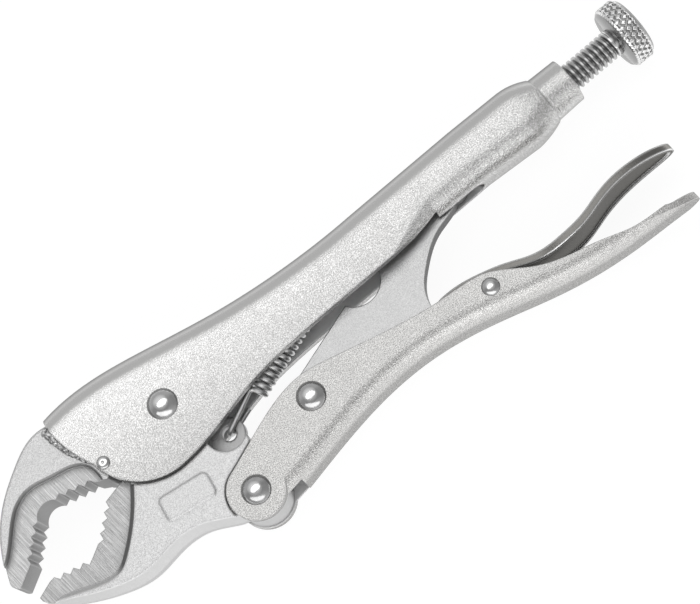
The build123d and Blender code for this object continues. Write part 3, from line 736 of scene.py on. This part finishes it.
def make_screw_cutter():
    """Lowers the vertices of a screw blank by the depth of its thread and knurl."""
    inputs = {"Geometry": (GEOMETRY, None)}
    for label in ("Axis Y", "Axis Z", "Thread start", "Thread end", "Pitch", "Depth",
                  "Knurl start", "Knurl end", "Grooves", "Lean", "Knurl depth"):
        inputs[label] = (FLOAT, 0.0)
    inputs["Material"] = (MATERIAL, None)
    tree, given, result = new_group("thread and knurl", "GeometryNodeTree", inputs, {"Geometry": GEOMETRY})
    spot = split(tree, place(tree, "GeometryNodeInputPosition").outputs[0])
    up = calc(tree, "SUBTRACT", spot["Y"], given["Axis Y"])
    across = calc(tree, "SUBTRACT", spot["Z"], given["Axis Z"])
    radius = calc(tree, "SQRT", calc(tree, "MULTIPLY_ADD", up, up, calc(tree, "MULTIPLY", across, across)))
    turn = calc(tree, "DIVIDE", calc(tree, "ARCTAN2", across, up), 2 * math.pi)
    lead = calc(tree, "SUBTRACT", calc(tree, "DIVIDE", spot["X"], given["Pitch"]), turn)
    groove = ramp(tree, wave(tree, lead), *THREAD_WAVE)
    fade = calc(tree, "MULTIPLY", given["Pitch"], THREAD_FADE)
    threaded = between(tree, spot["X"], given["Thread start"], given["Thread end"], fade)
    thread_cut = calc(tree, "MULTIPLY", calc(tree, "MULTIPLY", groove, given["Depth"]), threaded)
    round_it = calc(tree, "MULTIPLY", turn, given["Grooves"])
    along = calc(tree, "DIVIDE", spot["X"], given["Lean"])
    left = wave(tree, calc(tree, "ADD", round_it, along))
    right = wave(tree, calc(tree, "SUBTRACT", round_it, along))
    diamond = ramp(tree, calc(tree, "MINIMUM", left, right), *KNURL_WAVE)
    fade = calc(tree, "MULTIPLY", given["Lean"], KNURL_FADE)
    knurled = between(tree, spot["X"], given["Knurl start"], given["Knurl end"], fade)
    knurl_cut = calc(tree, "MULTIPLY", calc(tree, "MULTIPLY", diamond, given["Knurl depth"]), knurled)
    left_over = calc(tree, "SUBTRACT", radius, calc(tree, "ADD", thread_cut, knurl_cut))
    share = calc(tree, "DIVIDE", left_over, calc(tree, "MAXIMUM", radius, LEAST_RADIUS))
    moved = place(tree, "ShaderNodeCombineXYZ", {
        "X": spot["X"],
        "Y": calc(tree, "MULTIPLY_ADD", up, share, given["Axis Y"]),
        "Z": calc(tree, "MULTIPLY_ADD", across, share, given["Axis Z"])})
    cutting = place(
        tree, "GeometryNodeSetPosition", {"Geometry": given["Geometry"], "Position": moved.outputs[0]})
    coat(tree, cutting.outputs[0], given, result)
    return tree


screw_cutter = make_screw_cutter()
print("made tree", screw_cutter.name)

# %% [markdown]
# A modifier's inputs are set by each socket's identifier, which Blender gives when the socket is made. The
# result is turned into a plain mesh and the modifier is taken off, so that the piece exports as it is.


# %% Run a tree and keep its mesh
def run_tree(piece, tree, **values):
    """Runs a Geometry Nodes tree on an object and keeps the result as its mesh."""
    modifier = piece.modifiers.new(tree.name, "NODES")
    modifier.node_group = tree
    for item in tree.interface.items_tree:
        key = item.name.lower().replace(" ", "_")
        if item.in_out == "INPUT" and key in values:
            modifier[item.identifier] = values[key]
    bpy.context.view_layer.update()
    seen = piece.evaluated_get(bpy.context.evaluated_depsgraph_get())
    mesh = bpy.data.meshes.new_from_object(seen)
    piece.modifiers.clear()
    if piece.type != "MESH":
        name = piece.name
        bpy.data.objects.remove(piece)
        piece = add_object(name, mesh)
    piece.data = mesh
    mesh.name = piece.name
    print("%s: %d faces after %s" % (piece.name, len(mesh.polygons), tree.name))
    return piece


print("tree runner ready")

# %% [markdown]
# The screw is plated bright. Its thread is cut, and painted shade makes it darker down in the grooves of
# the thread and the knurl, and the crests of the knurl are brighter from wear and a painted highlight. The
# faces at the head's two ends were turned and not knurled, and painted shade makes them darker than its rim.

# %% Bright screw
SHANK_TONE = 0.52
RIM_TONE = 0.88              # of the head's knurled rim
END_SHADE_TONE = 0.34              # of the faces at the head's ends, as painted shade
END_FACING = (0.4, 0.6)      # part of the normal along the axis where they start and where they are full
# on edges and crests, as wear and painted highlight
CREST_WEAR_GLINT_TONE = 0.9
# painted shade in the grooves
GROOVE_SHADE_TONE = 0.08
THREAD_GROOVE_SHADE = 0.9            # strengths of the painted shade in the thread's grooves,
NECK_GROOVE_SHADE = 0.2              # at the neck,
KNURL_GROOVE_SHADE = 0.8             # and in the knurl


def bright_screw():
    material, tree, shader = new_material("bright screw")
    grain = effect(tree, blasted_grain, crater=0.22 * MM, patch=3 * MM)
    corner = effect(tree, corner_shade, reach=0.6 * MM)
    edge = effect(tree, soft_edge, radius=0.08 * MM)
    coordinates = place(tree, "ShaderNodeTexCoord").outputs
    along = split(tree, coordinates["Object"])["X"]
    ends = calc(tree, "ABSOLUTE", split(tree, coordinates["Normal"])["X"])
    neck = ramp(tree, along, neck_start - THREAD_PITCH, neck_start)
    # painted shade on the faces at the head's ends
    head = greys(tree, ramp(tree, ends, *END_FACING), RIM_TONE, END_SHADE_TONE)
    metal = mix(tree, neck, grey(SHANK_TONE), head)
    # edge wear and painted highlight
    metal = mix(tree, edge["Edge"], metal, grey(CREST_WEAR_GLINT_TONE), strength=0.5)
    # painted shade in the grooves of the thread and the knurl, weak at the neck
    knurl_groove_shade = remap(tree, along, head_start, head_start + HEAD_CHAMFER, 0.0, KNURL_GROOVE_SHADE)
    groove_shade = calc(tree, "MAXIMUM", vary(tree, neck, THREAD_GROOVE_SHADE, NECK_GROOVE_SHADE), knurl_groove_shade)
    metal = mix(tree, corner["Corner"], metal, grey(GROOVE_SHADE_TONE), strength=groove_shade)
    fill(tree, shader, {
        "Base Color": metal, "Roughness": vary(tree, grain["Patch"], 0.17, 0.24),
        "Normal": bump(tree, grain["Height"], 0.006 * MM, edge["Normal"])})
    return material


knurled_screw = run_tree(
    knurled_screw, screw_cutter, axis_y=screw_axis.y, axis_z=screw_axis.z,
    thread_start=screw_low.x, thread_end=neck_start, pitch=THREAD_PITCH, depth=THREAD_DEPTH,
    knurl_start=head_start + HEAD_CHAMFER, knurl_end=screw_high.x - HEAD_CHAMFER,
    grooves=float(KNURL_GROOVES), lean=KNURL_LEAN, knurl_depth=KNURL_DEPTH, material=bright_screw())
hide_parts("adjusting_screw")
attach(knurled_screw, "adjusting_screw")

# %% [markdown]
# ## Lock pin
# The pin at the front corner of the shell is closed by a punch with a small point, which leaves a
# ring-shaped dome with a dimple. It is turned like the screw blank, with a rounded profile at both ends.

# %% Turn the lock pin
pin_low, pin_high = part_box("jaw_lock_pin")
PIN_DOME = 0.7 * MM
PIN_SHANK = 1.0 * MM         # radius
PIN_DIMPLE = 0.3 * MM        # radius of the dimple's rim
PIN_CREST = 0.42 * MM        # radius of the dome's highest ring
DIMPLE_DEPTHS = (0.16 * MM, 0.12 * MM, 0.03 * MM)    # at its middle, half way out and at its rim
PIN_STEPS = 10
PIN_COLUMNS = 40


def pin_end():
    """From the dimple's floor over the rim of the dome down to the shell, as (depth, radius)."""
    rim = (pin_high.x - pin_low.x) / 2
    points = [(depth, PIN_DIMPLE * step / 2) for step, depth in enumerate(DIMPLE_DEPTHS)]
    for step in range(PIN_STEPS + 1):
        angle = math.pi / 2 * step / PIN_STEPS
        radius = PIN_CREST + (rim - PIN_CREST) * math.sin(angle)
        points.append((PIN_DOME * (1 - math.cos(angle)), radius))
    return points + [(PIN_DOME, PIN_SHANK)]


def lock_pin():
    """The pin through the shell, with the same end on both sides."""
    length = pin_high.z - pin_low.z
    near = pin_end()
    far = [(length - depth, radius) for depth, radius in reversed(near)]
    foot = (pin_low + pin_high) / 2
    foot.z = pin_low.z
    mesh = bmesh.new()
    lathe(mesh, near + far, PIN_COLUMNS, foot, Vector((0, 0, 1)), Vector((1, 0, 0)))
    made = finish_mesh(mesh, "dimpled_lock_pin")
    made.data.materials.append(pin_finish)
    return made


dimpled_pin = lock_pin()
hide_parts("jaw_lock_pin")
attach(dimpled_pin, "fixed_handle")
print("lock pin has", len(dimpled_pin.data.polygons), "faces")

# %% [markdown]
# ## Return spring
# An extension spring pulls the lower jaw open. It is one length of wire: a hook through the jaw's lobe, a
# close coil, and a hook through the tab inside the handle. The wire's line is worked out here by a few
# formulas, as a polyline with enough points to look round, and a Geometry Nodes tree sweeps a circle along
# it. The spring is drawn along its own axis first, then turned to lie between its two holes.

# %% Sizes of the spring
SPRING_HOLE = from_pivot(6.4, -12.4)
SPRING_ANCHOR = from_pivot(47.2, 1.1)
WIRE_DIAMETER = 1.1 * MM
WIRE_SIDES = 16
COIL_RADIUS = 1.85 * MM
COIL_PITCH = 1.45 * MM
HOOK_BEND = 1.0 * MM
FRONT_HOOK = 10.4 * MM
REAR_HOOK = 6.0 * MM
FREE_END = 6.6 * MM
TURN_POINTS = 28             # on each turn of the coil
ARC_STEPS = 10               # on each bend of the hooks
spring_span = (SPRING_ANCHOR - SPRING_HOLE).length
coil_turns = round(2 * (spring_span - FRONT_HOOK - REAR_HOOK) / COIL_PITCH) / 2
print("spring of %.1f turns over %.1f mm" % (coil_turns, spring_span / MM))


# %% The line of the wire
def arc(centre, first, second, start, end):
    """Points on a circle: centre plus first times the cosine and second times the sine."""
    angles = [start + (end - start) * step / ARC_STEPS for step in range(ARC_STEPS + 1)]
    return [centre + first * math.cos(angle) + second * math.sin(angle) for angle in angles]


def coil(turn):
    """The point of the coil after a number of turns."""
    angle = 2 * math.pi * turn
    ahead = FRONT_HOOK + COIL_PITCH * turn
    return Vector((ahead, -COIL_RADIUS * math.sin(angle), COIL_RADIUS * math.cos(angle)))


def spring_line():
    """The wire from its free end at the jaw's lobe to the handle's tab, along X from the lobe's hole."""
    ahead, near = Vector((1, 0, 0)), Vector((0, 0, COIL_RADIUS))
    sideways = Vector((0, HOOK_BEND, 0))
    line = [ahead * FREE_END - near]
    line += arc(ahead * COIL_RADIUS, near, -ahead * COIL_RADIUS, math.pi, 0)
    line += arc(ahead * (FRONT_HOOK - HOOK_BEND) + near, sideways, ahead * HOOK_BEND, 0, math.pi / 2)
    line += [coil(step / TURN_POINTS) for step in range(1, int(coil_turns * TURN_POINTS))]
    last = coil(coil_turns)
    last.y = 0
    last_side = -math.copysign(1.0, last.z) * sideways
    line += arc(last + ahead * HOOK_BEND, -ahead * HOOK_BEND, last_side, 0, math.pi / 2)
    across = Vector((0, 0, last.z))
    eye = Vector((spring_span - COIL_RADIUS, last_side.y, 0))
    line += arc(eye, across, ahead * COIL_RADIUS, 0, math.pi)
    return line + [eye - across - ahead * WIRE_DIAMETER]


def new_curve(name, lines, kind):
    """A curve object with a line of one kind through each list of points."""
    curve = bpy.data.curves.new(name, "CURVE")
    curve.dimensions = "3D"
    for points in lines:
        line = curve.splines.new(kind)
        line.points.add(len(points) - 1)
        for spot, point in zip(line.points, points):
            spot.co = (*point, 1.0)
        if kind == "NURBS":
            line.order_u = 3
            line.use_endpoint_u = True
    return add_object(name, curve)


spring_axis, upright = (SPRING_ANCHOR - SPRING_HOLE).normalized(), Vector((0, 0, 1))
spring_turn = Matrix((spring_axis, upright.cross(spring_axis), upright)).transposed()
spring_points = [SPRING_HOLE + spring_turn @ point for point in spring_line()]
wound_spring = new_curve("wound_spring", [spring_points], "POLY")
print("wire drawn through %d points" % len(spring_points))


# %% The tree that draws wire along a line
def make_wire_drawer():
    """Sweeps a circle along a curve."""
    inputs = {"Geometry": (GEOMETRY, None), "Diameter": (FLOAT, 1 * MM),
              "Sides": ("NodeSocketInt", WIRE_SIDES), "Material": (MATERIAL, None)}
    tree, given, result = new_group("draw wire", "GeometryNodeTree", inputs, {"Geometry": GEOMETRY})
    radius = calc(tree, "MULTIPLY", given["Diameter"], 0.5)
    ring = place(tree, "GeometryNodeCurvePrimitiveCircle", {"Resolution": given["Sides"], "Radius": radius})
    drawn = place(tree, "GeometryNodeCurveToMesh", {
        "Curve": given["Geometry"], "Profile Curve": ring.outputs[0], "Fill Caps": True})
    smooth = place(tree, "GeometryNodeSetShadeSmooth", {"Geometry": drawn.outputs[0]})
    coat(tree, smooth.outputs[0], given, result)
    return tree


wire_drawer = make_wire_drawer()
print("made tree", wire_drawer.name)

# %% [markdown]
# Spring wire is drawn through a die and tempered. That leaves it smooth along its length, less of a mirror
# than the plated pieces, and painted shade darkens it between the turns.

# %% Drawn wire
WIRE_TONES = (0.74, 0.9)
# painted shade between the turns
TURN_SHADE_TONE = 0.12


def spring_wire():
    material, tree, shader = new_material("drawn wire")
    grain = effect(tree, blasted_grain, crater=0.4 * MM, patch=4 * MM)
    corner = effect(tree, corner_shade, reach=0.5 * MM)
    edge = effect(tree, soft_edge, radius=0.05 * MM)
    wire = greys(tree, grain["Patch"], *WIRE_TONES)
    # painted shade between the turns
    wire = mix(tree, corner["Corner"], wire, grey(TURN_SHADE_TONE), strength=0.3)
    fill(tree, shader, {
        "Base Color": wire, "Roughness": vary(tree, grain["Speck"], 0.38, 0.5),
        "Normal": bump(tree, grain["Height"], 0.008 * MM, edge["Normal"])})
    return material


wound_spring = run_tree(
    wound_spring, wire_drawer, diameter=WIRE_DIAMETER, sides=WIRE_SIDES, material=spring_wire())
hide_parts("return_spring")
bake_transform(wound_spring)

# %% [markdown]
# ## Weld
# The upper jaw is welded to the front edge of the handle on both sides. A weld is a string of frozen drops,
# so the bead swells and sinks at an even beat along its length, and its skin is rough. The line follows the
# shell's front edge. The tree sweeps a round along it, swells it with a wave, and roughens it with noise.

# %% Sizes of the weld
WELD_LINE = ((-19.0, 0.9), (-20.9, 5.0), (-21.8, 9.2), (-22.1, 12.3))    # from the jaw pivot, in mm
WELD_SIDE = 5.2              # mm from the mid-plane to the bead's line
WELD_RADIUS = 1.3 * MM
WELD_BEAT = 1.1 * MM
WELD_ROUGHNESS = 0.9 * MM
WELD_SIDES = 24
BEAT_RINGS = 10.0            # along the bead, for each beat
THIN_END = 0.4               # share of the radius where the bead starts
FULL_AT = 0.9                # share of the length where it has its full radius
SUNK = 0.88                  # share of the radius between two drops
DROP_SHARE = 0.6             # lumps of the rough skin for each beat
print("weld line of %d points on each side" % len(WELD_LINE))


# %% The tree that lays a weld
def make_weld_layer():
    """Sweeps a bead along a curve, swells it at an even beat and roughens it."""
    inputs = {"Geometry": (GEOMETRY, None), "Radius": (FLOAT, 1 * MM), "Beat": (FLOAT, 1 * MM),
              "Roughness": (FLOAT, 0.2 * MM), "Material": (MATERIAL, None)}
    tree, given, result = new_group("lay weld", "GeometryNodeTree", inputs, {"Geometry": GEOMETRY})
    fine = calc(tree, "DIVIDE", given["Beat"], BEAT_RINGS)
    even = place(
        tree, "GeometryNodeResampleCurve", {"Curve": given["Geometry"], "Length": fine}, mode="LENGTH")
    along = place(tree, "GeometryNodeSplineParameter").outputs
    beat = wave(tree, calc(tree, "DIVIDE", along["Length"], given["Beat"]))
    taper = remap(tree, along["Factor"], 0.0, FULL_AT, THIN_END, 1.0)
    swell = calc(tree, "MULTIPLY", taper, vary(tree, beat, SUNK, 1.0))
    ring = place(
        tree, "GeometryNodeCurvePrimitiveCircle", {"Resolution": WELD_SIDES, "Radius": given["Radius"]})
    bead = place(tree, "GeometryNodeCurveToMesh", {
        "Curve": even.outputs[0], "Profile Curve": ring.outputs[0], "Scale": swell, "Fill Caps": True})
    lumps = calc(tree, "DIVIDE", DROP_SHARE, given["Beat"])
    drops = place(tree, "ShaderNodeTexNoise", {"Scale": lumps, "Detail": 4.0})
    rough = calc(tree, "MULTIPLY", calc(tree, "SUBTRACT", drops.outputs[0], 0.5), given["Roughness"])
    out = place(tree, "GeometryNodeInputNormal").outputs[0]
    push = place(tree, "ShaderNodeVectorMath", {0: out, "Scale": rough}, operation="SCALE")
    shaken = place(tree, "GeometryNodeSetPosition", {"Geometry": bead.outputs[0], "Offset": push.outputs[0]})
    smooth = place(tree, "GeometryNodeSetShadeSmooth", {"Geometry": shaken.outputs[0]})
    coat(tree, smooth.outputs[0], given, result)
    return tree


weld_layer = make_weld_layer()
print("made tree", weld_layer.name)

# %% [markdown]
# Weld metal cools under a skin of dark scale, and the blasting before plating takes it off only in spots.
# So the specks of the blasted grain choose here between scale and bare metal, and the corners along the
# bead, which the beads of the blasting can't reach, stay burnt dark.

# %% Rough weld metal
WELD_TONES = (0.16, 0.8)     # from scale to bare metal
BURNT_TONE = 0.1


def weld_metal():
    material, tree, shader = new_material("weld metal")
    grain = effect(tree, blasted_grain, crater=0.5 * MM, patch=1.5 * MM)
    corner = effect(tree, corner_shade, reach=0.8 * MM)
    edge = effect(tree, soft_edge, radius=0.1 * MM)
    bead = greys(tree, grain["Speck"], *WELD_TONES)
    bead = mix(tree, corner["Corner"], bead, grey(BURNT_TONE), strength=0.8)
    fill(tree, shader, {
        "Base Color": bead, "Roughness": vary(tree, grain["Patch"], 0.3, 0.5),
        "Normal": bump(tree, grain["Height"], 0.06 * MM, edge["Normal"])})
    return material


weld_lines = [[from_pivot(x, y, side) for x, y in WELD_LINE] for side in (WELD_SIDE, -WELD_SIDE)]
weld_beads = run_tree(
    new_curve("weld_beads", weld_lines, "NURBS"), weld_layer, radius=WELD_RADIUS, beat=WELD_BEAT,
    roughness=WELD_ROUGHNESS, material=weld_metal())
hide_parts("jaw_weld")
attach(weld_beads, "fixed_handle")

# %% [markdown]
# ## Floor
# A plain pale floor. For the camera, and for what the metal mirrors, most of it is an even white, so that
# it has no edge in the picture, and the rest is a plain matt surface that keeps a faint shadow under the
# tool.

# %% Pale floor
FLOOR_HALF = 4.0
FLOOR_TONE = 0.9             # of the matt surface
FLOOR_WHITE = 1.08           # strength of the even white
WHITE_SHARE = 0.85


def pale_floor():
    material = bpy.data.materials.new("pale floor")
    material.use_nodes = True
    tree = material.node_tree
    tree.nodes.remove(tree.nodes["Principled BSDF"])
    matt = place(tree, "ShaderNodeBsdfDiffuse", {"Color": grey(FLOOR_TONE)})
    white = place(tree, "ShaderNodeEmission", {"Color": grey(1.0), "Strength": FLOOR_WHITE})
    ray = place(tree, "ShaderNodeLightPath").outputs
    seen = calc(tree, "MAXIMUM", ray["Is Camera Ray"], ray["Is Glossy Ray"])
    seen = calc(tree, "MAXIMUM", seen, ray["Is Transmission Ray"])
    share = calc(tree, "MULTIPLY", seen, WHITE_SHARE)
    both = place(tree, "ShaderNodeMixShader", {0: share, 1: matt.outputs[0], 2: white.outputs[0]})
    fill(tree, tree.nodes["Material Output"], {"Surface": both.outputs[0]})
    return material


floor_corners = [(x * FLOOR_HALF, y * FLOOR_HALF, 0) for x, y in ((-1, -1), (1, -1), (1, 1), (-1, 1))]
floor_mesh = bpy.data.meshes.new("floor")
floor_mesh.from_pydata(floor_corners, [], [(0, 1, 2, 3)])
floor_mesh.materials.append(pale_floor())
floor = add_object("floor", floor_mesh)
print("floor of %.0f m" % (2 * FLOOR_HALF))

# %% [markdown]
# ## Light
# Metal shows what is round it more than it shows lamps, so the room matters. The world is a grey tent, a
# little lighter towards the tool's back and low in front of it. An oval soft lamp hangs above the tool, and
# the flat sides and the crowns of the rivets mirror it. A wide one stands low in front, turned towards the
# jaws, and draws a second bright line on the lower corners. The grey between the two gives the round pieces
# their dark bands.

# %% Studio world
TENT_TONE = 0.4
BACK_TONE = 0.6
BACK_RISE = (0.25, 0.6)      # part of the direction to the tool's back where the tent grows lighter
FRONT_LIFT = 0.2             # added low in front
FRONT_RISE = (-0.55, -0.85)


def studio_world():
    """The tent round the tool."""
    world = bpy.data.worlds.new("studio")
    world.use_nodes = True
    tree = world.node_tree
    side = split(tree, place(tree, "ShaderNodeTexCoord").outputs["Generated"])["Y"]
    behind = remap(tree, side, *BACK_RISE, TENT_TONE, BACK_TONE)
    tone = calc(tree, "ADD", behind, remap(tree, side, *FRONT_RISE, 0.0, FRONT_LIFT))
    fill(tree, tree.nodes["Background"], {"Color": tone, "Strength": 1.0})
    bpy.context.scene.world = world


def soft_lamp(name, lean, turn, size, brightness, distance=0.8):
    """An oval lamp that looks at the tool. It leans from upright to the tool's back, then turns about Z."""
    lamp = bpy.data.lights.new(name, "AREA")
    lamp.shape = "ELLIPSE"
    lamp.size, lamp.size_y = size
    area = math.pi / 4 * size[0] * size[1]
    lamp.energy = brightness * math.pi * area
    made = add_object(name, lamp)
    made.matrix_world = (
        Matrix.Rotation(math.radians(turn), 4, "Z") @ Matrix.Rotation(math.radians(-lean), 4, "X")
        @ Matrix.Translation((0, 0, distance)))
    made.visible_camera = False
    print("%s of %.2f W" % (name, lamp.energy))


studio_world()
soft_lamp("lamp above", lean=11, turn=0, size=(1.1, 0.58), brightness=0.98)
soft_lamp("lamp in front", lean=-60, turn=-33, size=(1.6, 0.42), brightness=1.4)

# %% [markdown]
# ## Camera
# The picture was taken with a long lens, from above and a little from the tool's belly, with the tool
# turned so that it lies across the frame. The camera's place and its target are given from the jaw pivot,
# and the picture's upward direction in the tool's own axes.

# %% Set up the camera
SENSOR = 36.0                # both in mm
LENS = 115.7
CAMERA_PLACE = from_pivot(26.6, -144.4, 442.5)
CAMERA_TARGET = from_pivot(42.75, -7.23)
CAMERA_UP = Vector((0.633, 0.774, 0))
camera_data = bpy.data.cameras.new("camera")
camera_data.sensor_width = SENSOR
camera_data.lens = LENS
camera = add_object("camera", camera_data)
back = (CAMERA_PLACE - CAMERA_TARGET).normalized()
right = CAMERA_UP.cross(back).normalized()
turned = Matrix((right, back.cross(right), back)).transposed()
camera.matrix_world = Matrix.Translation(CAMERA_PLACE) @ turned.to_4x4()
bpy.context.scene.camera = camera
bpy.context.scene.view_settings.view_transform = "Standard"
print("camera %.0f mm from its target" % ((CAMERA_PLACE - CAMERA_TARGET).length / MM))
